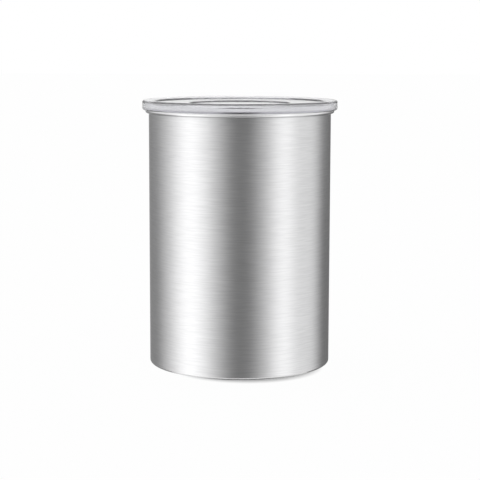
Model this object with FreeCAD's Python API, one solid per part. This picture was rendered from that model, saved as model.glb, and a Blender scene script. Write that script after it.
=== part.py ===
import FreeCAD, Part
import math
import os

# Vacuum seal canister for coffee beans. A brushed steel can with a rolled rim has a clear press-on lid.
# Inside the can slides a plunger lid with a wiping seal, which is pushed down to drive the air out.
# The plunger's folding handle turns a cam over a vent valve. Folded, the cam holds the plug on its seat.
# Upright, the cam gives way and a spring lifts the plug, so that air passes and the plunger can be moved.
# Sizes are millimetres. The origin is the middle of the foot, on the standing surface, and +Z is up.

# Steel can
body_diameter = 120.0        # outside of the straight wall
sheet = 0.6                  # steel sheet, wall and base alike
rim_height = 173.2           # foot to the top of the rolled rim
rim_projection = 2.2         # rolled rim beyond the wall
rim_upright = 4.3            # straight stretch between the rim's upper and lower curl
rim_lower_curl = 1.2         # outside radius of the lower curl
rim_lip_gap = 0.3            # rolled edge to the wall
foot_bend = 1.6              # outside bend where the wall turns in at the foot
foot_hem = 5.0               # inward hem that the can stands on, from the wall's outside

# Pressed base, held by the hem
base_fit = 0.05              # base flange to wall
base_flange = 7.0            # upstanding flange
base_bend = 1.8              # outside bend under the flange
base_land = 4.2              # flat ring that lies on the hem
base_recess = 2.0            # panel above the land
base_step = 1.6              # run of the slope from land to panel
base_boss_diameter = 64.0    # raised middle of the panel
base_boss_rise = 0.8
base_boss_slope = 1.2
base_press_round = 0.5       # bends of the pressed steps

# Clear outer lid
lid_wall = 1.65              # skirt
lid_ring = 1.1               # raised ring over the rim
lid_rim_clearance = 0.4      # skirt to rolled rim
lid_rim_gap = 0.24           # underside of the ring to the crown of the rim
lid_skirt_overlap = 4.85     # skirt below the top of the rim
lid_ring_width = 7.5         # raised ring round the top
lid_ring_fall = 1.0          # the ring's top slopes inwards by this much
lid_step = 0.55              # ring down to panel
lid_step_slope = 0.55        # run of that step
lid_panel = 1.85             # panel at its middle
lid_panel_fall = 0.45        # the panel slopes inwards by this much
lid_centre_diameter = 66.0   # shallow round recess in the middle of the panel
lid_centre_recess = 0.55
lid_centre_slope = 0.5
lid_top_round = 1.1          # outside corner at the top of the skirt
lid_foot_round = 1.45        # outside corner at the foot of the skirt
lid_lip_round = 0.15         # inside corner at the foot of the skirt
lid_step_round = 0.15        # corners of both steps
plug_wall = 1.9              # wall that enters the can's mouth
plug_clearance = 0.45        # that wall to the can's bore
plug_reach = 7.5             # that wall below the top of the rim
plug_round = 0.6
channel_round = 0.4          # corners of the channel over the rim

# Lid gasket, in a groove round the plug wall
gasket_height = 2.6
gasket_depth = 0.9           # groove into the plug wall
gasket_rise = 1.4            # groove above the foot of the plug wall
gasket_fit = 0.05            # gasket to the groove's faces
gasket_gap = 0.15            # ribs to the can's bore
gasket_rib = 0.7             # ribs at their tips
gasket_rib_root = 1.0        # ribs at their roots
gasket_rib_depth = 0.5       # ribs beyond the band between them
gasket_round = 0.2

# Plunger dish
dish_clearance = 1.4         # dish wall to the can's bore
dish_wall = 1.8
dish_floor = 2.4
dish_height = 20.0           # top edge above the floor
dish_bend = 3.0              # inside corner of wall and floor
dish_edge_round = 0.8
guide_clearance = 0.5        # guide rim to the can's bore
guide_thickness = 1.6
floor_ring_diameter = 92.0   # low stiffening ring on the floor
floor_ring_width = 2.4
floor_ring_rise = 0.8
floor_ring_round = 0.3
spigot_wall = 1.8            # ring under the floor that carries the seal
barb_projection = 0.6        # snap barb at the foot of the spigot
barb_height = 1.2
handle_headroom = 2.6        # upright handle to the underside of the outer lid

# Wiping seal and its retainer
seal_gap = 0.2               # lips to the can's bore
seal_lip = 2.2               # radial length of the lips
seal_body = 4.5              # radial width of the seal's root ring
seal_height = 5.0
seal_fit = 0.05              # seal and retainer to the spigot
seal_lip_edge = 0.8          # lip thickness at its tip
seal_lip_root = 1.9          # lip thickness at its root
seal_round = 0.25
retainer_thickness = 2.0
retainer_margin = 0.5        # retainer inside the root of the lips
retainer_gap = 0.1           # retainer to barb
retainer_round = 0.5

# Valve seat, washer and ring nut
seat_body_diameter = 23.6
seat_fit = 0.1               # body to the hole in the floor, and to the nut
seat_flange_diameter = 30.0
seat_flange = 1.6
seat_lip_height = 0.8
seat_lip_width = 1.6
seat_cup_diameter = 17.2     # well that holds the spring
seat_spider = 2.5            # vented floor of the well
seat_tail = 0.6              # body beyond the nut
seat_round = 0.4
vent_count = 6
vent_diameter = 3.0
vent_circle = 10.8
washer_thickness = 1.0
nut_height = 3.5
nut_diameter = 32.0
nut_round = 0.5
nut_grip_count = 10
nut_grip_diameter = 4.0      # scallops round the nut
nut_grip_depth = 0.9

# Valve plug, its seal, spring and clip
valve_lift = 2.5             # plug travel from shut to open
stem_diameter = 4.0
stem_fit = 0.05              # stem to its guide
stem_tail = 0.9              # stem beyond the clip
stem_round = 0.4
cap_diameter = 22.8
cap_thickness = 2.4
cap_round = 1.0
cap_spigot_diameter = 10.0   # boss under the cap, which centres the seal and takes the spring
cap_spigot_drop = 1.0
follower_diameter = 10.0     # pad that the cam presses on
follower_rise = 0.6
follower_round = 0.3
plug_seal_thickness = 1.2
plug_seal_margin = 0.2       # seal inside the edge of the cap
plug_seal_fit = 0.1          # seal to the boss under the cap
clip_thickness = 0.8
clip_diameter = 8.0
clip_groove = 0.5            # groove depth in the stem
clip_fit = 0.05
clip_gap = 0.3               # clip to the seat with the plug fully lifted
spring_wire = 0.6
spring_diameter = 6.8        # middle of the wire
spring_turns = 3.5
spring_gap = 0.1             # wire to its seats

# Folding handle and hinge
pin_diameter = 3.0
pin_fit = 0.05               # pin to the bores of handle and lugs
pin_inset = 0.5              # pin end inside the outer face of the handle
knuckle_wall = 1.4           # handle material round the pin
cam_width = 12.0
cam_gap = 0.1                # cam to follower
lug_margin = 1.3             # lugs outside the valve seat's flange
lug_width = 6.0
lug_base = 11.0
lug_radius = 4.0             # lug round the pin
hinge_gap = 0.5              # lug to knuckle, each side
knuckle_width = 6.2          # outer knuckles, and the arms of the handle
handle_thickness = 5.0
handle_reach = 40.0          # pin to the far edge of the grip
handle_round = 1.2
handle_round_share = 0.33    # the most that the rounding may take of the handle's thickness
handle_corner = 18.0         # outer corners of the grip
finger_corner = 11.0         # inner corners of the grip
notch_corner = 1.5           # inner corners beside the lugs
crossbar_clearance = 2.6     # crossbar to the rounded end of the lugs
crossbar_width = 6.5
grip_width = 6.8
rest_length = 16.0           # pad on the floor that the folded grip lies on
rest_depth = 4.0
rest_round = 1.5
rest_gap = 0.1

# Modelling tolerances
overrun = 2.0                # cutting tools beyond the faces they cut
touching = 1e-6              # points closer than this are one point
cam_steps = 8                # points along the cam's flank
quarter_turns = 4            # stretches of one turn of the spring

# Radii of the can and outer lid
body_radius = body_diameter / 2
bore_radius = body_radius - sheet
rim_radius = body_radius + rim_projection
rim_crown_radius = (bore_radius + rim_radius) / 2
skirt_inside = rim_radius + lid_rim_clearance
lid_radius = skirt_inside + lid_wall
plug_outside = bore_radius - plug_clearance
plug_inside = plug_outside - plug_wall
groove_radius = plug_outside - gasket_depth

# Levels of the can and outer lid
ring_lean = lid_ring_fall / lid_ring_width
lid_top = rim_height + lid_rim_gap + lid_ring + (lid_radius - rim_crown_radius) * ring_lean
panel_edge_top = lid_top - lid_ring_fall - lid_step
panel_top = panel_edge_top - lid_panel_fall
centre_top = panel_top - lid_centre_recess
panel_under = centre_top - lid_panel
plug_foot = rim_height - plug_reach
groove_foot = plug_foot + gasket_rise
groove_top = groove_foot + gasket_height + gasket_fit * 2

# Radii of the plunger
seal_tip_radius = bore_radius - seal_gap
seal_root_radius = seal_tip_radius - seal_lip
seal_inside = seal_root_radius - seal_body
spigot_outside = seal_inside - seal_fit
seat_body_radius = seat_body_diameter / 2
seat_hole_radius = seat_body_radius + seat_fit
seat_flange_radius = seat_flange_diameter / 2
seat_cup_radius = seat_cup_diameter / 2
stem_radius = stem_diameter / 2
cap_spigot_radius = cap_spigot_diameter / 2
pin_radius = pin_diameter / 2
pin_bore_radius = pin_radius + pin_fit
knuckle_radius = pin_radius + knuckle_wall
cam_shut_radius = knuckle_radius + valve_lift

# Levels of the plunger, from the floor of the dish
follower_height = (
    washer_thickness + seat_flange + seat_lip_height + plug_seal_thickness + cap_thickness + follower_rise
)
pivot_height = follower_height + cam_gap + cam_shut_radius
floor_level = panel_under - handle_headroom - handle_reach - pivot_height
floor_under = floor_level - dish_floor
seal_foot = floor_under - seal_height
retainer_foot = seal_foot - retainer_thickness
seat_flange_under = floor_level + washer_thickness
seat_flange_top = seat_flange_under + seat_flange
seat_lip_top = seat_flange_top + seat_lip_height
nut_foot = floor_under - nut_height
seat_foot = nut_foot - seat_tail
spider_top = seat_foot + seat_spider
cap_under = seat_lip_top + plug_seal_thickness
cap_top = cap_under + cap_thickness
cap_spigot_foot = cap_under - cap_spigot_drop
follower_top = cap_top + follower_rise
clip_top = seat_foot - valve_lift - clip_gap
clip_foot = clip_top - clip_thickness
pivot_level = floor_level + pivot_height

# Places across the handle, along the pin
lug_inner_face = seat_flange_radius + lug_margin
lug_outer_face = lug_inner_face + lug_width
hub_half_width = lug_inner_face - hinge_gap
arm_inner_face = lug_outer_face + hinge_gap
handle_half_width = arm_inner_face + knuckle_width
crossbar_start = lug_radius + crossbar_clearance
finger_start = crossbar_start + crossbar_width
finger_end = handle_reach - grip_width


def upright(u, v):
    """A point of a turned section: radius and height."""
    return FreeCAD.Vector(u, 0, v)


def level(height):
    """Places a flat outline's (x, y) points at a height."""
    return lambda u, v: FreeCAD.Vector(u, v, height)


def across(x):
    """Places a side outline's (y, z) points at a distance along the pin."""
    return lambda u, v: FreeCAD.Vector(x, u, v)


def corner_fits(corners, reaches):
    """The share of each wanted corner reach that its two neighbouring runs have room for."""
    shares = [1.0] * len(corners)
    for i, here in enumerate(corners):
        ahead = (i + 1) % len(corners)
        run = here.distanceToPoint(corners[ahead])
        wanted = reaches[i] + reaches[ahead]
        if wanted > run:
            shares[i] = min(shares[i], run / wanted)
            shares[ahead] = min(shares[ahead], run / wanted)
    return shares


def rounded_wire(points, place):
    """A closed wire through (u, v) points, or (u, v, radius) points where a corner is rounded."""
    corners = [FreeCAD.Vector(p[0], p[1], 0) for p in points]
    radii = [p[2] if len(p) > 2 else 0 for p in points]
    backs = [(corners[i - 1] - c).normalize() for i, c in enumerate(corners)]
    aheads = [backs[(i + 1) % len(backs)] * -1 for i in range(len(backs))]
    halves = [back.getAngle(ahead) / 2 for back, ahead in zip(backs, aheads)]
    reaches = [radius / math.tan(half) for radius, half in zip(radii, halves)]
    shares = corner_fits(corners, reaches)
    bends = []
    for corner, back, ahead, half, reach, share in zip(corners, backs, aheads, halves, reaches, shares):
        fitted = reach * share
        radius = fitted * math.tan(half)
        middle = corner + (back + ahead).normalize() * (radius / math.sin(half) - radius) if radius else None
        bends.append((corner + back * fitted, middle, corner + ahead * fitted))
    edges = []
    for i, (start, middle, end) in enumerate(bends):
        before = bends[i - 1][2]
        if before.distanceToPoint(start) > touching:
            edges.append(Part.makeLine(place(before.x, before.y), place(start.x, start.y)))
        if middle is not None:
            through = [place(p.x, p.y) for p in (start, middle, end)]
            edges.append(Part.Arc(*through).toShape())
    return Part.Wire(edges)


def turned(points):
    """A solid of revolution about the can's axis, from a closed outline of (radius, height) points."""
    face = Part.Face(rounded_wire(points, upright))
    return face.revolve(FreeCAD.Vector(0, 0, 0), FreeCAD.Vector(0, 0, 1), 360)


def plate(points, foot, thickness):
    """A flat plate from a closed outline of (x, y) points."""
    face = Part.Face(rounded_wire(points, level(foot)))
    return face.extrude(FreeCAD.Vector(0, 0, thickness))


def ring(inside, outside, foot, top):
    """A plain round ring."""
    return turned([(inside, foot), (outside, foot), (outside, top), (inside, top)])


def rod_across(radius, half_length):
    """A round bar on the hinge axis."""
    start = FreeCAD.Vector(-half_length, 0, pivot_level)
    return Part.makeCylinder(radius, half_length * 2, start, FreeCAD.Vector(1, 0, 0))


def upright_rods(radius, foot, height, circle_radius, count):
    """Round bars standing on a circle about the can's axis."""
    rods = []
    for i in range(count):
        angle = math.tau * i / count
        place = FreeCAD.Vector(circle_radius * math.cos(angle), circle_radius * math.sin(angle), foot)
        rods.append(Part.makeCylinder(radius, height, place))
    return rods


def can_wall():
    """The rolled sheet: hemmed in at the foot, and curled outwards at the top into a closed rim."""
    upper_curl = (sheet + rim_projection) / 2
    rim_foot = rim_height - upper_curl - rim_upright - rim_lower_curl
    hem_inside = body_radius - foot_hem
    return turned([
        (hem_inside, 0),
        (body_radius, 0, foot_bend),
        (body_radius, rim_height - sheet, upper_curl - sheet),
        (rim_radius - sheet, rim_height - sheet, upper_curl - sheet),
        (rim_radius - sheet, rim_foot + sheet, rim_lower_curl - sheet),
        (body_radius + rim_lip_gap, rim_foot + sheet),
        (body_radius + rim_lip_gap, rim_foot),
        (rim_radius, rim_foot, rim_lower_curl),
        (rim_radius, rim_height, upper_curl),
        (bore_radius, rim_height, upper_curl),
        (bore_radius, sheet, foot_bend - sheet),
        (hem_inside, sheet),
    ])


def can_base():
    """The pressed base: an upstanding flange, a land on the hem, and a panel raised in two steps."""
    outside = bore_radius - base_fit
    land_inside = outside - base_land
    land_foot = sheet
    panel_foot = land_foot + base_recess
    boss_foot = panel_foot + base_boss_rise
    boss_radius = base_boss_diameter / 2
    step_lean = sheet * math.tan(math.atan2(base_recess, base_step) / 2)
    boss_lean = sheet * math.tan(math.atan2(base_boss_rise, base_boss_slope) / 2)
    flange_top = land_foot + base_flange
    return turned([
        (0, boss_foot),
        (boss_radius - base_boss_slope, boss_foot, base_press_round),
        (boss_radius, panel_foot, base_press_round),
        (land_inside - base_step, panel_foot, base_press_round),
        (land_inside, land_foot, base_press_round),
        (outside, land_foot, base_bend),
        (outside, flange_top),
        (outside - sheet, flange_top),
        (outside - sheet, land_foot + sheet, base_bend - sheet),
        (land_inside + step_lean, land_foot + sheet, base_press_round),
        (land_inside - base_step + step_lean, panel_foot + sheet, base_press_round),
        (boss_radius + boss_lean, panel_foot + sheet, base_press_round),
        (boss_radius - base_boss_slope + boss_lean, boss_foot + sheet, base_press_round),
        (0, boss_foot + sheet),
    ])


def outer_lid():
    """The clear cover: a panel with a recessed centre, a raised ring, a skirt and a grooved plug wall."""
    skirt_foot = rim_height - lid_skirt_overlap
    ring_edge = lid_radius - lid_ring_width
    centre_radius = lid_centre_diameter / 2

    def ceiling(radius):
        return lid_top - lid_ring - (lid_radius - radius) * ring_lean

    return turned([
        (0, panel_under),
        (plug_inside, panel_under, plug_round),
        (plug_inside, plug_foot, plug_round),
        (plug_outside, plug_foot, plug_round),
        (plug_outside, groove_foot),
        (groove_radius, groove_foot),
        (groove_radius, groove_top),
        (plug_outside, groove_top),
        (plug_outside, ceiling(plug_outside), channel_round),
        (skirt_inside, ceiling(skirt_inside), channel_round),
        (skirt_inside, skirt_foot, lid_lip_round),
        (lid_radius, skirt_foot, lid_foot_round),
        (lid_radius, lid_top, lid_top_round),
        (ring_edge, lid_top - lid_ring_fall, lid_step_round),
        (ring_edge - lid_step_slope, panel_edge_top, lid_step_round),
        (centre_radius + lid_centre_slope, panel_top, lid_step_round),
        (centre_radius, centre_top, lid_step_round),
        (0, centre_top),
    ])


def lid_gasket():
    """The soft ring in the plug wall's groove, with two ribs that seal against the can's bore."""
    inside = groove_radius + gasket_fit
    tip = bore_radius - gasket_gap
    root = tip - gasket_rib_depth
    foot = groove_foot + gasket_fit
    top = foot + gasket_height
    return turned([
        (inside, foot),
        (tip, foot, gasket_round),
        (tip, foot + gasket_rib, gasket_round),
        (root, foot + gasket_rib_root, gasket_round),
        (root, top - gasket_rib_root, gasket_round),
        (tip, top - gasket_rib, gasket_round),
        (tip, top, gasket_round),
        (inside, top),
    ])


def hinge_lugs():
    """The two ears on the floor of the dish that carry the hinge pin."""
    root = floor_level - dish_floor / 2
    outline = [
        (-lug_base / 2, root),
        (lug_base / 2, root),
        (lug_base / 2, floor_level),
        (lug_radius, pivot_level),
        (lug_radius, pivot_level + lug_radius, lug_radius),
        (-lug_radius, pivot_level + lug_radius, lug_radius),
        (-lug_radius, pivot_level),
        (-lug_base / 2, floor_level),
    ]
    lugs = []
    for x in (lug_inner_face, -lug_outer_face):
        face = Part.Face(rounded_wire(outline, across(x)))
        lugs.append(face.extrude(FreeCAD.Vector(lug_width, 0, 0)))
    return lugs


def handle_rest():
    """The pad on the floor of the dish under the folded grip."""
    middle = handle_reach - grip_width / 2
    root = floor_level - dish_floor / 2
    top = pivot_level - handle_thickness / 2 - rest_gap
    outline = [
        (-rest_length / 2, middle - rest_depth / 2, rest_round),
        (rest_length / 2, middle - rest_depth / 2, rest_round),
        (rest_length / 2, middle + rest_depth / 2, rest_round),
        (-rest_length / 2, middle + rest_depth / 2, rest_round),
    ]
    return plate(outline, root, top - root)


def plunger_dish():
    """The moulded dish: floor, wall and guide rim, the spigot for the seal, and the lugs for the handle."""
    outside = bore_radius - dish_clearance
    inside = outside - dish_wall
    guide_radius = bore_radius - guide_clearance
    top = floor_level + dish_height
    spigot_inside = spigot_outside - spigot_wall
    barb_top = retainer_foot - retainer_gap
    spigot_foot = barb_top - barb_height
    ring_inside = (floor_ring_diameter - floor_ring_width) / 2
    ring_outside = (floor_ring_diameter + floor_ring_width) / 2
    ring_top = floor_level + floor_ring_rise
    dish = turned([
        (seat_hole_radius, floor_under),
        (spigot_inside, floor_under, dish_edge_round),
        (spigot_inside, spigot_foot),
        (spigot_outside, spigot_foot),
        (spigot_outside + barb_projection, barb_top),
        (spigot_outside, barb_top),
        (spigot_outside, floor_under),
        (outside, floor_under, dish_edge_round),
        (outside, top - guide_thickness, dish_edge_round),
        (guide_radius, top - guide_thickness),
        (guide_radius, top, dish_edge_round),
        (inside, top, dish_edge_round),
        (inside, floor_level, dish_bend),
        (ring_outside, floor_level, floor_ring_round),
        (ring_outside, ring_top, floor_ring_round),
        (ring_inside, ring_top, floor_ring_round),
        (ring_inside, floor_level, floor_ring_round),
        (seat_hole_radius, floor_level),
    ])
    dish = dish.fuse(hinge_lugs() + [handle_rest()])
    return dish.cut(rod_across(pin_bore_radius, lug_outer_face + overrun)).removeSplitter()


def lip_seal():
    """The wiping seal: a root ring round the spigot, with one lip at the top and one at the bottom."""
    top = floor_under
    return turned([
        (seal_inside, seal_foot),
        (seal_tip_radius, seal_foot, seal_round),
        (seal_tip_radius, seal_foot + seal_lip_edge, seal_round),
        (seal_root_radius, seal_foot + seal_lip_root, seal_round),
        (seal_root_radius, top - seal_lip_root, seal_round),
        (seal_tip_radius, top - seal_lip_edge, seal_round),
        (seal_tip_radius, top, seal_round),
        (seal_inside, top),
    ])


def seal_retainer():
    """The snap ring under the seal, which the spigot's barb holds up."""
    inside = spigot_outside + seal_fit
    outside = seal_root_radius - retainer_margin
    return turned([
        (inside, retainer_foot),
        (outside, retainer_foot, retainer_round),
        (outside, seal_foot, retainer_round),
        (inside, seal_foot),
    ])


def valve_seat():
    """The flanged seat through the floor: a spring well, a vented spider, a stem guide and a raised lip."""
    guide_radius = stem_radius + stem_fit
    lip_outside = seat_cup_radius + seat_lip_width
    seat = turned([
        (guide_radius, seat_foot),
        (seat_body_radius, seat_foot, seat_round),
        (seat_body_radius, seat_flange_under),
        (seat_flange_radius, seat_flange_under),
        (seat_flange_radius, seat_flange_top, seat_round),
        (lip_outside, seat_flange_top),
        (lip_outside, seat_lip_top, seat_round),
        (seat_cup_radius, seat_lip_top, seat_round),
        (seat_cup_radius, spider_top, seat_round),
        (guide_radius, spider_top),
    ])
    drill_foot = seat_foot - overrun
    drill_length = seat_spider + overrun * 2
    drills = upright_rods(vent_diameter / 2, drill_foot, drill_length, vent_circle / 2, vent_count)
    return seat.cut(drills)


def seat_washer():
    """The flat washer between the seat's flange and the floor of the dish."""
    return ring(seat_hole_radius, seat_flange_radius, floor_level, seat_flange_under)


def valve_nut():
    """The ring nut that draws the seat down from under the floor, scalloped for the fingers."""
    nut_radius = nut_diameter / 2
    nut = turned([
        (seat_hole_radius, nut_foot),
        (nut_radius, nut_foot, nut_round),
        (nut_radius, floor_under, nut_round),
        (seat_hole_radius, floor_under),
    ])
    grip_radius = nut_grip_diameter / 2
    grip_circle = nut_radius + grip_radius - nut_grip_depth
    cut_height = nut_height + overrun * 2
    return nut.cut(upright_rods(grip_radius, nut_foot - overrun, cut_height, grip_circle, nut_grip_count))


def valve_plug():
    """The plug: a cap with the cam's follower pad, a boss for its seal, and a grooved stem."""
    groove_radius = stem_radius - clip_groove
    follower_radius = follower_diameter / 2
    cap_radius = cap_diameter / 2
    stem_foot = clip_foot - stem_tail
    return turned([
        (0, stem_foot),
        (stem_radius, stem_foot, stem_round),
        (stem_radius, clip_foot - clip_fit),
        (groove_radius, clip_foot - clip_fit),
        (groove_radius, clip_top + clip_fit),
        (stem_radius, clip_top + clip_fit),
        (stem_radius, cap_spigot_foot),
        (cap_spigot_radius, cap_spigot_foot),
        (cap_spigot_radius, cap_under),
        (cap_radius, cap_under),
        (cap_radius, cap_top, cap_round),
        (follower_radius, cap_top),
        (follower_radius, follower_top, follower_round),
        (0, follower_top),
    ])


def plug_seal():
    """The soft washer under the cap, which closes on the seat's lip."""
    inside = cap_spigot_radius + plug_seal_fit
    outside = cap_diameter / 2 - plug_seal_margin
    return ring(inside, outside, seat_lip_top, cap_under)


def stem_clip():
    """The open clip in the stem's groove, which stops the plug's lift."""
    inside = stem_radius - clip_groove + clip_fit
    clip = ring(inside, clip_diameter / 2, clip_foot, clip_top)
    mouth_length = clip_diameter / 2 + overrun
    corner = FreeCAD.Vector(0, -inside, clip_foot - overrun)
    return clip.cut(Part.makeBox(mouth_length, inside * 2, clip_thickness + overrun * 2, corner))


def arc_leaving(start, heading, end):
    """The arc that leaves start along a heading and ends at end."""
    chord = end - start
    along = FreeCAD.Vector(chord).normalize()
    side = (heading - along * heading.dot(along)).normalize()
    rise = chord.Length / 2 * math.tan(heading.getAngle(chord) / 2)
    return Part.Arc(start, start + chord * 0.5 + side * rise, end).toShape()


def two_arcs(start, heading, end, end_heading):
    """Two arcs that meet smoothly and join two points, each along its own heading."""
    span = end - start
    both = heading + end_heading
    bend = 2 * (1 - heading.dot(end_heading))
    lean = span.dot(both)
    reach = (math.sqrt(lean * lean + bend * span.dot(span)) - lean) / bend
    join = (start + end + (heading - end_heading) * reach) * 0.5
    join_heading = (end - start - both * reach).normalize()
    return [arc_leaving(start, heading, join), arc_leaving(join, join_heading, end)]


def valve_spring():
    """The compression spring round the stem, between the spider and the boss under the cap."""
    radius = spring_diameter / 2
    foot = spider_top + spring_gap + spring_wire / 2
    rise = cap_spigot_foot - spring_gap - spring_wire / 2 - foot
    sweep = math.tau * spring_turns

    def place(share):
        angle = sweep * share
        return FreeCAD.Vector(radius * math.cos(angle), radius * math.sin(angle), foot + rise * share)

    def heading(share):
        angle = sweep * share
        run = radius * sweep
        return FreeCAD.Vector(-run * math.sin(angle), run * math.cos(angle), rise).normalize()

    stretches = math.ceil(spring_turns * quarter_turns)
    shares = [i / stretches for i in range(stretches + 1)]
    edges = []
    for start, end in zip(shares, shares[1:]):
        edges += two_arcs(place(start), heading(start), place(end), heading(end))
    section = Part.Wire(Part.makeCircle(spring_wire / 2, place(0), heading(0)))
    sweeper = Part.BRepOffsetAPI.MakePipeShell(Part.Wire(edges))
    sweeper.add(section)
    sweeper.build()
    sweeper.makeSolid()
    apart = math.ceil(stretches / spring_turns / 2)
    points = [place(share) for share in shares]
    gaps = [a.distanceToPoint(b) for i, a in enumerate(points) for b in points[i + apart:]]
    print("spring: least gap between turns", round(min(gaps) - spring_wire, 2))
    return sweeper.shape()


def cam_lobe():
    """The cam on the handle's hub. Its involute flank lifts the plug in step with the handle's turn."""
    rate = valve_lift / (math.pi / 2)
    flank = []
    for i in range(cam_steps + 1):
        turn = math.pi / 2 * i / cam_steps
        facing = -math.pi / 2 - turn
        reach = cam_shut_radius - rate * turn
        y = reach * math.cos(facing) - rate * math.sin(facing)
        z = reach * math.sin(facing) + rate * math.cos(facing)
        flank.append(FreeCAD.Vector(-cam_width / 2, y, pivot_level + z))
    curve = Part.BSplineCurve()
    curve.interpolate(flank)
    far_side = [(knuckle_radius, handle_thickness / 2), (-knuckle_radius, 0)]
    near_side = (cam_shut_radius, -handle_thickness / 2)
    corners = [across(-cam_width / 2)(y, pivot_level + z) for y, z in [near_side] + far_side]
    outline = [curve.toShape()]
    outline += [Part.makeLine(a, b) for a, b in zip([flank[0]] + corners, corners + [flank[-1]])]
    return Part.Face(Part.Wire(outline)).extrude(FreeCAD.Vector(cam_width, 0, 0))


def handle():
    """The folding handle, lying flat: a D-shaped grip, two outer knuckles, and a hub with the cam."""
    foot = pivot_level - handle_thickness / 2
    top = foot + handle_thickness
    outline = [
        (-handle_half_width, 0),
        (-arm_inner_face, 0),
        (-arm_inner_face, crossbar_start, notch_corner),
        (-hub_half_width, crossbar_start, notch_corner),
        (-hub_half_width, 0),
        (hub_half_width, 0),
        (hub_half_width, crossbar_start, notch_corner),
        (arm_inner_face, crossbar_start, notch_corner),
        (arm_inner_face, 0),
        (handle_half_width, 0),
        (handle_half_width, handle_reach, handle_corner),
        (-handle_half_width, handle_reach, handle_corner),
    ]
    finger_gap = [
        (-arm_inner_face, finger_start, notch_corner),
        (arm_inner_face, finger_start, notch_corner),
        (arm_inner_face, finger_end, finger_corner),
        (-arm_inner_face, finger_end, finger_corner),
    ]
    frame = plate(outline, foot, handle_thickness)
    frame = frame.cut(plate(finger_gap, foot - overrun, handle_thickness + overrun * 2))
    flat_edges = [e for e in frame.Edges if abs(e.BoundBox.ZLength) < touching]
    frame = frame.makeFillet(min(handle_round, handle_thickness * handle_round_share), flat_edges)
    hub = rod_across(knuckle_radius, hub_half_width)
    knuckles = []
    for x in (arm_inner_face, -handle_half_width):
        start = FreeCAD.Vector(x, 0, pivot_level)
        knuckles.append(Part.makeCylinder(knuckle_radius, knuckle_width, start, FreeCAD.Vector(1, 0, 0)))
    whole = frame.fuse([hub, cam_lobe()] + knuckles)
    return whole.cut(rod_across(pin_bore_radius, handle_half_width + overrun)).removeSplitter()


def handle_pin():
    """The steel pin through the lugs and the handle."""
    return rod_across(pin_radius, handle_half_width - pin_inset)


def main():
    """Builds each piece and writes it as a node of its own."""
    pieces = (
        can_wall, can_base, outer_lid, lid_gasket,
        plunger_dish, lip_seal, seal_retainer, valve_seat, seat_washer, valve_nut,
        valve_plug, plug_seal, valve_spring, stem_clip, handle, handle_pin,
    )
    os.makedirs("parts", exist_ok=True)
    for piece in pieces:
        shape = piece()
        shape.exportStep(os.path.join("parts", piece.__name__ + ".step"))
        state = "valid" if shape.isValid() else "NOT VALID"
        print(piece.__name__, len(shape.Solids), "solid", state, round(shape.Volume, 1), "mm3")
    for name, height in (("dish floor", floor_level), ("hinge", pivot_level), ("lid top", lid_top)):
        print(name, "at", round(height, 3))
    print("valve lift per radian of handle", round(valve_lift / (math.pi / 2), 6))


main()
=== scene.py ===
import math

import bmesh
import bpy
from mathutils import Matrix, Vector


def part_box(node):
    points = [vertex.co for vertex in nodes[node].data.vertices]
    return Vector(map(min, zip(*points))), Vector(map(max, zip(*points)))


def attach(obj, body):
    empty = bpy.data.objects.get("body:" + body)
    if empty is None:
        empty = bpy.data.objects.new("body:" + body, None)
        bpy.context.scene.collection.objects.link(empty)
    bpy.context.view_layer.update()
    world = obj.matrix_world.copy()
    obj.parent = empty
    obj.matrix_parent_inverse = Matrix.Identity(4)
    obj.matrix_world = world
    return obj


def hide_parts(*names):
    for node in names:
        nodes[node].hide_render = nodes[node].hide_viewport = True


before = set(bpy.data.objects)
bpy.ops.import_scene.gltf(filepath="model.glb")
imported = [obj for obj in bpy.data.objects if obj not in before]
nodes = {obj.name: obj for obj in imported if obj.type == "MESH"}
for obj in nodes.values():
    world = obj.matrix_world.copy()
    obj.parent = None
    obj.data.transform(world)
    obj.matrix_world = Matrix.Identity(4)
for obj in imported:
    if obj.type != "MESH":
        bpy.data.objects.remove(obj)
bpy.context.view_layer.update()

# Looks of the vacuum seal canister: turned skins for the can, lid and seals, a wound spring, and procedural
# finishes. Lengths are metres, in the frame of the solids: the origin is the middle of the foot, +Z is up.
MM = 0.001

# Camera, at the photograph's viewing angle, with its lens and sensor in millimetres
camera_place = (0.0, -0.957, 0.2148)
camera_pitch = math.radians(7.93)
camera_roll = math.radians(-0.12)
camera_lens = 108.5
camera_sensor = 36.0

# Mesh fineness
turn_steps = 288               # facets round a turned piece
corner_step = math.radians(9)  # turn of each facet round a rounded corner
support = 0.12 * MM            # extra loop beside a rounded corner, which keeps the flat next to it flat
corner_least = 3               # fewest facets round a rounded corner
touching = 1e-7                # points nearer than this count as one
crease = math.radians(32)      # sharper edges than this shade as edges
wire_sides = 16
wire_steps = 40                # points on one turn of the spring
card_steps = 64

# Steel can
body_radius = 60.0 * MM
sheet = 0.6 * MM
rim_upright = 4.3 * MM         # straight stretch between the rim's curls
rim_lower_curl = 1.2 * MM
rim_lip_gap = 0.3 * MM
painted_shade_drop = 0.5 * MM        # painted shade under the rolled edge: its reach down the wall
painted_shade_darkest = 0.15 * MM       # height on the edge where the painted shade is at its darkest
painted_shade_rise = 0.55 * MM       # height on the edge where the painted shade ends
foot_bend = 1.6 * MM
foot_hem = 5.0 * MM
bore_radius = body_radius - sheet
rim_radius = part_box("can_wall")[1].x
rim_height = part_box("can_wall")[1].z
rim_projection = rim_radius - body_radius
rim_upper_curl = (sheet + rim_projection) / 2
rim_foot = rim_height - rim_upper_curl - rim_upright - rim_lower_curl

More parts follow.
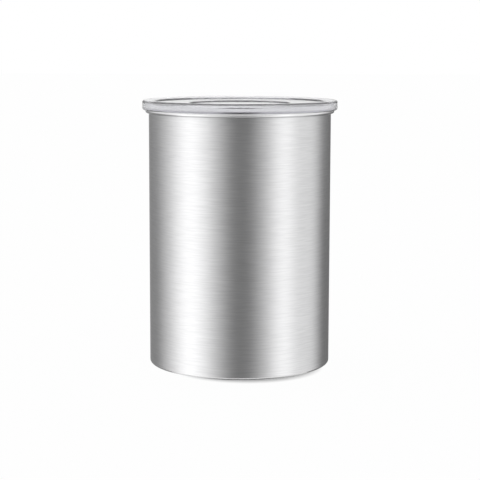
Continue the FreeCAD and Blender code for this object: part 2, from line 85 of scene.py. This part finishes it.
# Pressed base
base_land = 4.2 * MM
base_recess = 2.0 * MM
base_step = 1.6 * MM
base_boss_radius = 32.0 * MM
base_boss_rise = 0.8 * MM
base_boss_slope = 1.2 * MM
base_bend = 1.8 * MM
base_press_round = 0.5 * MM

# Clear outer lid
lid_wall = 1.65 * MM
lid_ring = 1.1 * MM
lid_rim_gap = 0.24 * MM        # underside of the ring to the crown of the rim
lid_skirt_overlap = 4.85 * MM
lid_ring_width = 7.5 * MM
lid_ring_fall = 1.0 * MM
lid_step = 0.55 * MM
lid_step_slope = 0.55 * MM
lid_panel = 1.85 * MM
lid_panel_fall = 0.45 * MM
lid_centre_radius = 33.0 * MM
lid_centre_recess = 0.55 * MM
lid_centre_slope = 0.5 * MM
lid_top_round = 1.1 * MM
lid_foot_round = 1.45 * MM
lid_lip_round = 0.15 * MM
lid_step_round = 0.15 * MM
lid_painted_shade_height = 2.0 * MM       # painted shade at the foot of the skirt: its height
plug_wall = 1.9 * MM
plug_clearance = 0.45 * MM
plug_round = 0.6 * MM
channel_round = 0.4 * MM
lid_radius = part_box("outer_lid")[1].x
lid_ring_lean = lid_ring_fall / lid_ring_width
rim_crown_radius = (bore_radius + rim_radius) / 2
lid_top = rim_height + lid_rim_gap + lid_ring + (lid_radius - rim_crown_radius) * lid_ring_lean
skirt_foot = rim_height - lid_skirt_overlap
plug_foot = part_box("outer_lid")[0].z
plug_outside = bore_radius - plug_clearance

# Lid gasket, in a groove round the plug wall
gasket_depth = 0.9 * MM
gasket_fit = 0.05 * MM
gasket_rib = 0.7 * MM
gasket_rib_root = 1.0 * MM
gasket_rib_depth = 0.5 * MM
gasket_round = 0.2 * MM
groove_radius = plug_outside - gasket_depth

# Wiping seal, its retainer, and the valve's washers
seal_lip = 2.2 * MM
seal_body = 4.5 * MM
seal_lip_edge = 0.8 * MM
seal_lip_root = 1.9 * MM
seal_round = 0.25 * MM
seal_root_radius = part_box("lip_seal")[1].x - seal_lip
seal_inside = seal_root_radius - seal_body
retainer_round = 0.5 * MM
washer_inside = 11.9 * MM
plug_seal_inside = 5.1 * MM
washer_round = 0.2 * MM

# Spring
spring_wire = 0.6 * MM
spring_turns = 3.5
spring_end_turns = 1.0         # closed turns at each end

# Finishes: grains are counts per metre along each axis, and colours are shares of red, green and blue
noise_low = 0.3                # a noise's middle stretch
noise_high = 0.7
noise_detail = 2.0
circle_detail = 3.0
cloud_detail = 3.0
flow_detail = 4.0
brush_grain = (80, 80, 1500)
brush_depth = 0.003 * MM
brush_stretch_share = 0.85     # how far the brush lines draw out a highlight
brush_turn_share = 0.25        # share of a turn from along the lines to across them
# painted shade under the rolled edge, on the wall
wall_painted_shade_colour = (0.34, 0.34, 0.345)
rim_grain = (14, 14, 1900)
# painted shade on the underside of the rolled edge
rim_painted_shade_colour = (0.5, 0.5, 0.505)
spin_count = 1600              # circles of spinning per metre
spin_depth = 0.006 * MM
spin_cloud_grain = (35, 35, 35)
wire_grain = (260, 2400, 2400)
lid_clear_share = 0.92         # share of the light that passes through
lid_index = 1.5                # refractive index
lid_haze_grain = (90, 90, 90)
lid_colour = (0.97, 0.97, 0.99)
# painted shade at the foot of the lid's skirt
lid_painted_shade_colour = (0.72, 0.72, 0.75)
silicone_clear_share = 0.25
silicone_index = 1.41
silicone_cloud_grain = (160, 160, 160)
silicone_grain = (2600, 2600, 2600)
silicone_depth = 0.01 * MM
flow_grain = (45, 45, 45)      # faint clouds in moulded pieces
plastic_grain = (3200, 3200, 3200)
rubber_grain = (2400, 2400, 2400)
moulded_depth = 0.012 * MM

# Stage
white = (1, 1, 1, 1)
world_light = 0.8              # how brightly the white world lights a surface
floor_half = 8.0
floor_colour = (0.7, 0.7, 0.7, 1)
floor_roughness = 0.9
shade_place = (5 * MM, -19 * MM)  # middle of the floor's shade
shade_near = 42.5 * MM         # the floor shows its shading up to this distance from the shade's middle
shade_far = 50.5 * MM          # and is almost plain white from this distance on
shade_white_share = 0.97
sun_place = (-0.5, 0.45, 1.4)
sun_spread = math.radians(70)
sun_strength = 0.8
card_radius = 0.8
card_foot = -0.75
card_top = 1.3


def corner_fits(runs, reaches):
    """The share of each wanted corner reach that its two neighbouring runs have room for."""
    shares = [1.0] * len(runs)
    for i, run in enumerate(runs):
        ahead = (i + 1) % len(runs)
        wanted = reaches[i] + reaches[ahead]
        if wanted > run:
            shares[i] = min(shares[i], run / wanted)
            shares[ahead] = min(shares[ahead], run / wanted)
    return shares


def rounded(points):
    """A closed outline in fine points, through (u, v) points, or (u, v, radius) where a corner is rounded."""
    corners = [Vector(p[:2]) for p in points]
    radii = [p[2] if len(p) > 2 else 0 for p in points]
    runs = [(corners[(i + 1) % len(corners)] - c).length for i, c in enumerate(corners)]
    backs = [(corners[i - 1] - c).normalized() for i, c in enumerate(corners)]
    aheads = [-backs[(i + 1) % len(backs)] for i in range(len(backs))]
    halves = [back.angle(ahead) / 2 for back, ahead in zip(backs, aheads)]
    reaches = [radius / math.tan(half) for radius, half in zip(radii, halves)]
    fits = [reach * share for reach, share in zip(reaches, corner_fits(runs, reaches))]
    spares = [run - fits[i] - fits[(i + 1) % len(fits)] for i, run in enumerate(runs)]
    fine = []

    def add(point):
        if not fine or (point - fine[-1]).length > touching:
            fine.append(point)

    for i, (corner, back, ahead, half, fitted) in enumerate(zip(corners, backs, aheads, halves, fits)):
        if fitted <= touching:
            add(corner)
            continue
        radius = fitted * math.tan(half)
        middle = corner + (back + ahead).normalized() * (radius / math.sin(half))
        start = corner + back * fitted - middle
        sweep = math.pi - 2 * half
        side = 1 if back.cross(start) > 0 else -1
        count = max(corner_least, math.ceil(sweep / corner_step))
        if spares[i - 1] > support * 2:
            add(corner + back * (fitted + support))
        for k in range(count + 1):
            turn = side * sweep * k / count
            spun = Vector((
                start.x * math.cos(turn) - start.y * math.sin(turn),
                start.x * math.sin(turn) + start.y * math.cos(turn),
            ))
            add(middle + spun)
        if spares[i] > support * 2:
            add(corner + ahead * (fitted + support))
    if (fine[0] - fine[-1]).length <= touching:
        fine.pop()
    return fine


def show(name, data):
    """A new object of the scene."""
    obj = bpy.data.objects.new(name, data)
    bpy.context.scene.collection.objects.link(obj)
    return obj


def closed_piece(name, made):
    """A smooth-shaded object from a finished bmesh, which keeps its crisp edges."""
    bmesh.ops.recalc_face_normals(made, faces=made.faces)
    mesh = bpy.data.meshes.new(name)
    made.to_mesh(mesh)
    made.free()
    mesh.polygons.foreach_set("use_smooth", [True] * len(mesh.polygons))
    mesh.set_sharp_from_angle(angle=crease)
    mesh.update()
    return show(name, mesh)


def turned(name, points):
    """A piece turned about the can's axis, from a closed outline of (radius, height) points."""
    made = bmesh.new()
    angles = [math.tau * i / turn_steps for i in range(turn_steps)]
    rings = []
    for r, z in rounded(points):
        if r <= touching:
            rings.append([made.verts.new((0, 0, z))])
        else:
            rings.append([made.verts.new((r * math.cos(a), r * math.sin(a), z)) for a in angles])
    for lower, upper in zip(rings, rings[1:] + rings[:1]):
        if len(lower) == 1 and len(upper) == 1:
            continue
        for i in range(turn_steps):
            ahead = (i + 1) % turn_steps
            loop = [lower[i % len(lower)], lower[ahead % len(lower)]]
            loop += [upper[ahead % len(upper)], upper[i % len(upper)]]
            made.faces.new(list(dict.fromkeys(loop)))
    return closed_piece(name, made)


def tube(name, path, radius):
    """A round wire along a path of points, closed at both ends."""
    made = bmesh.new()
    turns = [math.tau * k / wire_sides for k in range(wire_sides)]
    rings = []
    for i, here in enumerate(path):
        ahead = (path[min(i + 1, len(path) - 1)] - path[max(i - 1, 0)]).normalized()
        side = ahead.cross(Vector((0, 0, 1))).normalized()
        up = side.cross(ahead)
        rings.append([made.verts.new(here + (side * math.cos(t) + up * math.sin(t)) * radius) for t in turns])
    for lower, upper in zip(rings, rings[1:]):
        for k in range(wire_sides):
            ahead = (k + 1) % wire_sides
            made.faces.new((lower[k], lower[ahead], upper[ahead], upper[k]))
    made.faces.new(rings[0])
    made.faces.new(rings[-1])
    return closed_piece(name, made)


def settle(piece, body, node, material):
    """Puts a new piece on its body, in place of its solid, with its finish."""
    piece.data.materials.append(material)
    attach(piece, body)
    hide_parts(node)


def dress(material, *names):
    """Gives a finish to solids that stay as they are."""
    for name in names:
        nodes[name].data.materials.clear()
        nodes[name].data.materials.append(material)


class Finish:
    """A procedural material: its nodes, and short calls that add and join them."""

    def __init__(self, name, **values):
        self.material = bpy.data.materials.new(name)
        self.material.use_nodes = True
        self.tree = self.material.node_tree
        self.shader = self.tree.nodes["Principled BSDF"]
        for socket, value in values.items():
            self.shader.inputs[socket.replace("_", " ")].default_value = value

    def node(self, kind, settings=None, **inputs):
        made = self.tree.nodes.new("ShaderNode" + kind)
        for key, value in (settings or {}).items():
            setattr(made, key, value)
        for socket, value in inputs.items():
            self.join(value, made.inputs[socket.replace("_", " ")])
        return made

    def join(self, value, socket):
        if isinstance(value, bpy.types.NodeSocket):
            self.tree.links.new(value, socket)
        else:
            socket.default_value = value

    def place(self, scale):
        """Object coordinates, stretched by a scale along each axis."""
        coordinates = self.node("TexCoord").outputs["Object"]
        return self.node("Mapping", Vector=coordinates, Scale=scale).outputs["Vector"]

    def out_from_axis(self):
        """The distance from the can's axis."""
        return self.node("VectorMath", {"operation": "LENGTH"}, Vector=self.place((1, 1, 0))).outputs["Value"]

    def height(self):
        """The height above the can's foot."""
        return self.node("SeparateXYZ", Vector=self.place((1, 1, 1))).outputs["Z"]

    def band(self, foot, top, inside):
        """Rises from 0 at one height to 1 at another, on what lies further out than a radius."""
        outer = self.node("Math", {"operation": "GREATER_THAN"})
        self.join(self.out_from_axis(), outer.inputs[0])
        self.join(inside, outer.inputs[1])
        both = self.node("Math", {"operation": "MULTIPLY"})
        self.join(self.spread(self.height(), 0.0, 1.0, foot, top), both.inputs[0])
        self.join(outer.outputs[0], both.inputs[1])
        return both.outputs[0]

    def noise(self, grain, detail=noise_detail):
        """Noise whose grain has the given count per metre along each axis."""
        made = self.node("TexNoise", Vector=self.place(grain), Scale=1.0, Detail=detail)
        return made.outputs["Fac"]

    def circles(self, count):
        """Noise in circles about the can's axis, with the given count per metre."""
        out = self.out_from_axis()
        made = self.node("TexNoise", {"noise_dimensions": "1D"}, W=out, Scale=count, Detail=circle_detail)
        return made.outputs["Fac"]

    def spread(self, value, low, high, start=noise_low, end=noise_high):
        """Maps a stretch of values, which is a noise's middle stretch if not stated, onto a range."""
        made = self.node("MapRange", Value=value, From_Min=start, From_Max=end, To_Min=low, To_Max=high)
        return made.outputs["Result"]

    def colour_between(self, share, first, second):
        """A colour between two, of which each is red, green and blue shares or another node's colour."""
        made = self.node("Mix", {"data_type": "RGBA"}, Factor=share)
        sockets = [socket for socket in made.inputs if socket.type == "RGBA"]
        for colour, socket in zip((first, second), sockets):
            self.join((*colour, 1) if isinstance(colour, tuple) else colour, socket)
        return [socket for socket in made.outputs if socket.type == "RGBA"][0]

    def tint(self, value, dark, light):
        """A colour between two, by a noise."""
        return self.colour_between(self.spread(value, 0.0, 1.0), dark, light)

    def bump(self, height, depth, strength):
        """Raises the surface by a noise, to a depth in metres."""
        made = self.node("Bump", Strength=strength, Distance=depth, Height=height)
        self.join(made.outputs["Normal"], self.shader.inputs["Normal"])

    def set(self, **values):
        for socket, value in values.items():
            self.join(value, self.shader.inputs[socket.replace("_", " ")])
        return self.material

    def blend(self, share, first, second):
        """Sends a blend of two shaders to the surface."""
        mix = self.node("MixShader")
        self.join(share, mix.inputs[0])
        self.join(first, mix.inputs[1])
        self.join(second, mix.inputs[2])
        self.join(mix.outputs["Shader"], self.tree.nodes["Material Output"].inputs["Surface"])


def brushed_steel():
    """Steel with brush lines round the can, which draw highlights out along its axis, and a smoother foot."""
    finish = Finish("brushed_steel", Metallic=1.0)
    tangent = finish.node("Tangent", {"direction_type": "RADIAL", "axis": "Z"})
    lines = finish.noise(brush_grain)
    # painted shade: a darker band on the wall just under the rolled edge
    painted_shade_band = finish.band(rim_foot - painted_shade_drop, rim_foot, bore_radius + touching)
    finish.bump(lines, brush_depth, strength=0.5)
    clean = finish.tint(lines, dark=(0.645, 0.645, 0.65), light=(0.735, 0.735, 0.74))
    rubbed = finish.node("Math", {"operation": "MINIMUM"})
    along_wall = finish.spread(lines, low=0.345, high=0.375)
    up_foot = finish.spread(finish.height(), low=0.12, high=0.38, start=foot_bend / 2, end=foot_bend)
    finish.join(along_wall, rubbed.inputs[0])
    finish.join(up_foot, rubbed.inputs[1])
    return finish.set(
        Anisotropic=brush_stretch_share,
        Anisotropic_Rotation=brush_turn_share,
        Tangent=tangent.outputs["Tangent"],
        Base_Color=finish.colour_between(painted_shade_band, clean, wall_painted_shade_colour),
        Roughness=rubbed.outputs[0],
    )


def polished_steel():
    """Bright rolled steel, with only a trace of its drawing lines, and painted shade under its rolled edge.
    """
    finish = Finish("polished_steel", Metallic=1.0)
    lines = finish.noise(rim_grain)
    clean = finish.tint(lines, dark=(0.74, 0.74, 0.745), light=(0.82, 0.82, 0.825))
    # painted shade: a darker band on the underside of the rolled edge
    painted_shade_band = finish.band(rim_foot + painted_shade_rise, rim_foot + painted_shade_darkest, body_radius)
    return finish.set(
        Base_Color=finish.colour_between(painted_shade_band, clean, rim_painted_shade_colour),
        Roughness=finish.spread(lines, low=0.10, high=0.16),
    )


def spun_steel():
    """Satin steel with the fine circles of spinning and polishing."""
    finish = Finish("spun_steel", Metallic=1.0)
    lines = finish.circles(spin_count)
    cloud = finish.noise(spin_cloud_grain)
    finish.bump(lines, spin_depth, strength=0.6)
    return finish.set(
        Base_Color=finish.tint(lines, dark=(0.56, 0.56, 0.565), light=(0.68, 0.68, 0.685)),
        Roughness=finish.spread(cloud, low=0.26, high=0.36),
    )


def wire_steel():
    """Bright drawn and ground steel."""
    finish = Finish("wire_steel", Metallic=1.0)
    lines = finish.noise(wire_grain)
    return finish.set(
        Base_Color=finish.tint(lines, dark=(0.62, 0.62, 0.63), light=(0.74, 0.74, 0.745)),
        Roughness=finish.spread(lines, low=0.14, high=0.26),
    )


def clear_plastic():
    """Clear moulded plastic with a faint cool haze, and painted shade at the foot of the skirt."""
    finish = Finish("clear_plastic", Transmission_Weight=lid_clear_share, IOR=lid_index)
    haze = finish.noise(lid_haze_grain, detail=cloud_detail)
    # painted shade: a greyer band at the foot of the skirt
    edge = finish.band(skirt_foot + lid_painted_shade_height, skirt_foot + lid_painted_shade_height / 2, rim_radius)
    return finish.set(
        Base_Color=finish.colour_between(edge, lid_colour, lid_painted_shade_colour),
        Roughness=finish.spread(haze, low=0.015, high=0.05),
    )


def milky_silicone():
    """Soft translucent silicone."""
    finish = Finish("milky_silicone", Transmission_Weight=silicone_clear_share, IOR=silicone_index)
    cloud = finish.noise(silicone_cloud_grain, detail=cloud_detail)
    finish.bump(finish.noise(silicone_grain), silicone_depth, strength=0.4)
    return finish.set(
        Base_Color=finish.tint(cloud, dark=(0.80, 0.81, 0.83), light=(0.88, 0.89, 0.90)),
        Roughness=finish.spread(cloud, low=0.32, high=0.46),
    )


def moulded(name, grain, dark, light, low, high):
    """Moulded plastic or rubber with a fine even texture and faint flow clouds."""
    finish = Finish(name)
    cloud = finish.noise(flow_grain, detail=flow_detail)
    finish.bump(finish.noise(grain), moulded_depth, strength=0.5)
    return finish.set(Base_Color=finish.tint(cloud, dark, light), Roughness=finish.spread(cloud, low, high))


def make_can_wall():
    """The rolled wall: hem, foot bend, straight brushed wall, and the rim curled out and back to the wall."""
    hem_inside = body_radius - foot_hem
    wall = turned("can_wall_skin", [
        (hem_inside, 0),
        (body_radius, 0, foot_bend),
        (body_radius, rim_height - sheet, rim_upper_curl - sheet),
        (rim_radius - sheet, rim_height - sheet, rim_upper_curl - sheet),
        (rim_radius - sheet, rim_foot + sheet, rim_lower_curl - sheet),
        (body_radius + rim_lip_gap, rim_foot + sheet),
        (body_radius + rim_lip_gap, rim_foot),
        (rim_radius, rim_foot, rim_lower_curl),
        (rim_radius, rim_height, rim_upper_curl),
        (bore_radius, rim_height, rim_upper_curl),
        (bore_radius, sheet, foot_bend - sheet),
        (hem_inside, sheet),
    ])
    settle(wall, "canister", "can_wall", brushed_steel())
    wall.data.materials.append(polished_steel())
    for face in wall.data.polygons:
        if face.center.z > rim_foot - touching and face.center.xy.length > bore_radius + touching:
            face.material_index = 1


def make_can_base():
    """The pressed base: flange, land on the hem, and a panel raised in two steps."""
    low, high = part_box("can_base")
    outside = high.x
    land_inside = outside - base_land
    panel_foot = low.z + base_recess
    boss_foot = panel_foot + base_boss_rise
    step_lean = sheet * math.tan(math.atan2(base_recess, base_step) / 2)
    boss_lean = sheet * math.tan(math.atan2(base_boss_rise, base_boss_slope) / 2)
    base = turned("can_base_skin", [
        (0, boss_foot),
        (base_boss_radius - base_boss_slope, boss_foot, base_press_round),
        (base_boss_radius, panel_foot, base_press_round),
        (land_inside - base_step, panel_foot, base_press_round),
        (land_inside, low.z, base_press_round),
        (outside, low.z, base_bend),
        (outside, high.z),
        (outside - sheet, high.z),
        (outside - sheet, low.z + sheet, base_bend - sheet),
        (land_inside + step_lean, low.z + sheet, base_press_round),
        (land_inside - base_step + step_lean, panel_foot + sheet, base_press_round),
        (base_boss_radius + boss_lean, panel_foot + sheet, base_press_round),
        (base_boss_radius - base_boss_slope + boss_lean, boss_foot + sheet, base_press_round),
        (0, boss_foot + sheet),
    ])
    settle(base, "canister", "can_base", spun_steel())


def make_outer_lid():
    """The clear cover: a panel with a recessed centre, a raised ring, a skirt and a grooved plug wall."""
    skirt_inside = lid_radius - lid_wall
    plug_inside = plug_outside - plug_wall
    groove_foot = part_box("lid_gasket")[0].z - gasket_fit
    groove_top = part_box("lid_gasket")[1].z + gasket_fit
    ring_edge = lid_radius - lid_ring_width
    panel_edge_top = lid_top - lid_ring_fall - lid_step
    panel_top = panel_edge_top - lid_panel_fall
    centre_top = panel_top - lid_centre_recess
    panel_under = centre_top - lid_panel

    def ceiling(radius):
        return lid_top - lid_ring - (lid_radius - radius) * lid_ring_lean

    lid = turned("outer_lid_skin", [
        (0, panel_under),
        (plug_inside, panel_under, plug_round),
        (plug_inside, plug_foot, plug_round),
        (plug_outside, plug_foot, plug_round),
        (plug_outside, groove_foot),
        (groove_radius, groove_foot),
        (groove_radius, groove_top),
        (plug_outside, groove_top),
        (plug_outside, ceiling(plug_outside), channel_round),
        (skirt_inside, ceiling(skirt_inside), channel_round),
        (skirt_inside, skirt_foot, lid_lip_round),
        (lid_radius, skirt_foot, lid_foot_round),
        (lid_radius, lid_top, lid_top_round),
        (ring_edge, lid_top - lid_ring_fall, lid_step_round),
        (ring_edge - lid_step_slope, panel_edge_top, lid_step_round),
        (lid_centre_radius + lid_centre_slope, panel_top, lid_step_round),
        (lid_centre_radius, centre_top, lid_step_round),
        (0, centre_top),
    ])
    settle(lid, "outer_lid", "outer_lid", clear_plastic())


def make_lip_ring(node, body, material, inside, root, tip_height, root_height, corner_round):
    """A soft ring with a lip at its foot and one at its top, each thicker at the root than at the tip."""
    low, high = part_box(node)
    tip = high.x
    ring = turned(node + "_skin", [
        (inside, low.z, corner_round),
        (tip, low.z, corner_round),
        (tip, low.z + tip_height, corner_round),
        (root, low.z + root_height, corner_round),
        (root, high.z - root_height, corner_round),
        (tip, high.z - tip_height, corner_round),
        (tip, high.z, corner_round),
        (inside, high.z, corner_round),
    ])
    settle(ring, body, node, material)


def make_ring(node, body, material, inside, corner_round):
    """A ring with rounded edges, as tall and wide as its solid."""
    low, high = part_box(node)
    ring = turned(node + "_skin", [
        (inside, low.z, corner_round),
        (high.x, low.z, corner_round),
        (high.x, high.z, corner_round),
        (inside, high.z, corner_round),
    ])
    settle(ring, body, node, material)


def eased(share):
    """A smooth rise from 0 to 1."""
    held = min(max(share, 0.0), 1.0)
    return held * held * (3 - 2 * held)


def make_spring(material):
    """The coil spring round the stem, with a closed turn at each end."""
    low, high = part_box("valve_spring")
    radius = high.x - spring_wire / 2
    foot = low.z + spring_wire / 2
    turns = spring_turns + spring_end_turns * 2
    open_rise = high.z - low.z - spring_wire - spring_wire * turns
    steps = math.ceil(turns * wire_steps)
    path = []
    for i in range(steps + 1):
        turn = turns * i / steps
        height = foot + spring_wire * turn + open_rise * eased((turn - spring_end_turns) / spring_turns)
        angle = math.tau * turn
        path.append(Vector((radius * math.cos(angle), radius * math.sin(angle), height)))
    spring = tube("valve_spring_coil", path, spring_wire / 2)
    settle(spring, "inner_lid", "valve_spring", material)


black_rubber = moulded(
    "black_rubber", rubber_grain,
    dark=(0.018, 0.018, 0.019), light=(0.032, 0.032, 0.034), low=0.52, high=0.68,
)
grey_plastic = moulded(
    "grey_plastic", plastic_grain,
    dark=(0.36, 0.37, 0.38), light=(0.43, 0.44, 0.45), low=0.38, high=0.50,
)
frosted_plastic = moulded(
    "frosted_plastic", plastic_grain,
    dark=(0.78, 0.79, 0.795), light=(0.86, 0.87, 0.87), low=0.42, high=0.55,
)
dark_plastic = moulded(
    "dark_plastic", plastic_grain,
    dark=(0.030, 0.030, 0.032), light=(0.048, 0.048, 0.050), low=0.34, high=0.46,
)
bright_wire = wire_steel()

make_can_wall()
make_can_base()
make_outer_lid()
make_lip_ring(
    "lid_gasket", "outer_lid", milky_silicone(),
    groove_radius + gasket_fit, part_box("lid_gasket")[1].x - gasket_rib_depth,
    gasket_rib, gasket_rib_root, gasket_round,
)
make_lip_ring(
    "lip_seal", "inner_lid", black_rubber,
    seal_inside, seal_root_radius, seal_lip_edge, seal_lip_root, seal_round,
)
make_ring("seal_retainer", "inner_lid", grey_plastic, seal_inside, retainer_round)
make_ring("seat_washer", "inner_lid", black_rubber, washer_inside, washer_round)
make_ring("plug_seal", "valve", black_rubber, plug_seal_inside, washer_round)
make_spring(bright_wire)
dress(frosted_plastic, "plunger_dish")
dress(grey_plastic, "valve_seat", "valve_nut", "valve_plug")
dress(dark_plastic, "handle")
dress(bright_wire, "handle_pin", "stem_clip")


def seen_directly(tree):
    """1 for what the camera sees, straight, in metal or through glass, and 0 for light on a surface."""
    path = tree.nodes.new("ShaderNodeLightPath")
    total = path.outputs["Is Camera Ray"]
    for name in ("Is Glossy Ray", "Is Transmission Ray"):
        more = tree.nodes.new("ShaderNodeMath")
        more.operation = "MAXIMUM"
        tree.links.new(total, more.inputs[0])
        tree.links.new(path.outputs[name], more.inputs[1])
        total = more.outputs[0]
    return total


def make_world():
    """A white world, which lights the object a little less brightly than it shows."""
    world = bpy.data.worlds.new("studio")
    bpy.context.scene.world = world
    world.use_nodes = True
    tree = world.node_tree
    background = tree.nodes["Background"]
    background.inputs["Color"].default_value = white
    level = tree.nodes.new("ShaderNodeMapRange")
    level.inputs["To Min"].default_value = world_light
    level.inputs["To Max"].default_value = 1.0
    tree.links.new(seen_directly(tree), level.inputs["Value"])
    tree.links.new(level.outputs["Result"], background.inputs["Strength"])


def make_floor(half):
    """A pale floor. Near the middle of the shade it shows its shading, and further out it turns to white."""
    mesh = bpy.data.meshes.new("floor")
    corners = [(-half, -half, 0), (half, -half, 0), (half, half, 0), (-half, half, 0)]
    mesh.from_pydata(corners, [], [(0, 1, 2, 3)])
    floor = show("floor", mesh)
    floor.location.xy = shade_place
    finish = Finish("pale_floor", Base_Color=floor_colour, Roughness=floor_roughness, Specular_IOR_Level=0.0)
    share = finish.spread(finish.out_from_axis(), 0.0, shade_white_share, shade_near, shade_far)
    seen = finish.node("Math", {"operation": "MULTIPLY"})
    finish.join(share, seen.inputs[0])
    finish.join(seen_directly(finish.tree), seen.inputs[1])
    glow = finish.node("Emission", Color=white)
    finish.blend(seen.outputs[0], finish.shader.outputs["BSDF"], glow.outputs["Emission"])
    mesh.materials.append(finish.material)
    floor.visible_glossy = False


def make_sun(name):
    """A wide soft light from one side, which lights and shades but doesn't show in reflections."""
    data = bpy.data.lights.new(name, "SUN")
    data.energy = sun_strength
    data.angle = sun_spread
    lamp = show(name, data)
    lamp.rotation_euler = (-Vector(sun_place)).to_track_quat("-Z", "Y").to_euler()
    lamp.visible_glossy = False


def make_card(
    name, start, end, fade_in, fade_out, strength,
    radius=card_radius, foot=card_foot, top=card_top, mirrored=True, through=False,
):
    """An upright curved card about the can's axis, seen only mirrored in surfaces or through clear pieces."""
    points = []
    shares = []
    for i in range(card_steps + 1):
        degrees = start + (end - start) * i / card_steps
        angle = math.radians(degrees)
        for z in (foot, top):
            points.append((radius * math.sin(angle), -radius * math.cos(angle), z))
            shares.append(eased((degrees - start) / fade_in) * eased((end - degrees) / fade_out))
    faces = [(2 * i, 2 * i + 2, 2 * i + 3, 2 * i + 1) for i in range(card_steps)]
    mesh = bpy.data.meshes.new(name)
    mesh.from_pydata(points, [], faces)
    mesh.attributes.new("glow_share", "FLOAT", "POINT").data.foreach_set("value", shares)
    card = show(name, mesh)
    finish = Finish(name)
    finish.tree.nodes.remove(finish.shader)
    share = finish.node("Attribute", {"attribute_name": "glow_share"}).outputs["Fac"]
    clear = finish.node("BsdfTransparent")
    glow = finish.node("Emission", Strength=strength)
    finish.blend(share, clear.outputs["BSDF"], glow.outputs["Emission"])
    mesh.materials.append(finish.material)
    card.visible_camera = False
    card.visible_diffuse = False
    card.visible_glossy = mirrored
    card.visible_transmission = through
    card.visible_shadow = False


# The cards' starts, ends and fades are degrees round from the front. Reflections leave the floor out, so the
# foot flag below it stands in for the floor's shade in the bend of the foot.
make_world()
make_card(
    "front_lid_flag", start=-34, end=34, fade_in=28, fade_out=28, strength=0.05,
    radius=1.2, foot=0.23, top=1.6, mirrored=False, through=True,
)
make_floor(floor_half)
make_sun("back_left_softbox")
make_card("front_flag", start=-44, end=48, fade_in=42, fade_out=42, strength=0.08, foot=-0.65)
make_card(
    "foot_flag", start=-34, end=44, fade_in=24, fade_out=30, strength=0.03,
    radius=0.0575, foot=-0.06, top=-0.0004,
)
make_card(
    "horizon_strip", start=-150, end=150, fade_in=45, fade_out=45, strength=1.0,
    radius=0.6, foot=0.115, top=0.165,
)
make_card(
    "back_flag", start=110, end=250, fade_in=30, fade_out=30, strength=0.05,
    radius=1.6, foot=0.78, top=2.4, through=True,
)
make_card("left_flag", start=-176, end=-84, fade_in=22, fade_out=46, strength=0.29, radius=0.85)
make_card("right_flag", start=97, end=177, fade_in=34, fade_out=18, strength=0.2, radius=0.87)
make_card("left_softbox", start=-100, end=-28, fade_in=36, fade_out=36, strength=1.7, radius=0.9)
make_card("right_softbox", start=33, end=82, fade_in=26, fade_out=26, strength=1.5, radius=0.9)

camera_data = bpy.data.cameras.new("camera")
camera_data.lens = camera_lens
camera_data.sensor_width = camera_sensor
camera = show("camera", camera_data)
camera.location = camera_place
camera.rotation_euler = (math.pi / 2 - camera_pitch, camera_roll, 0)
bpy.context.scene.camera = camera
bpy.context.scene.view_settings.view_transform = "Standard"
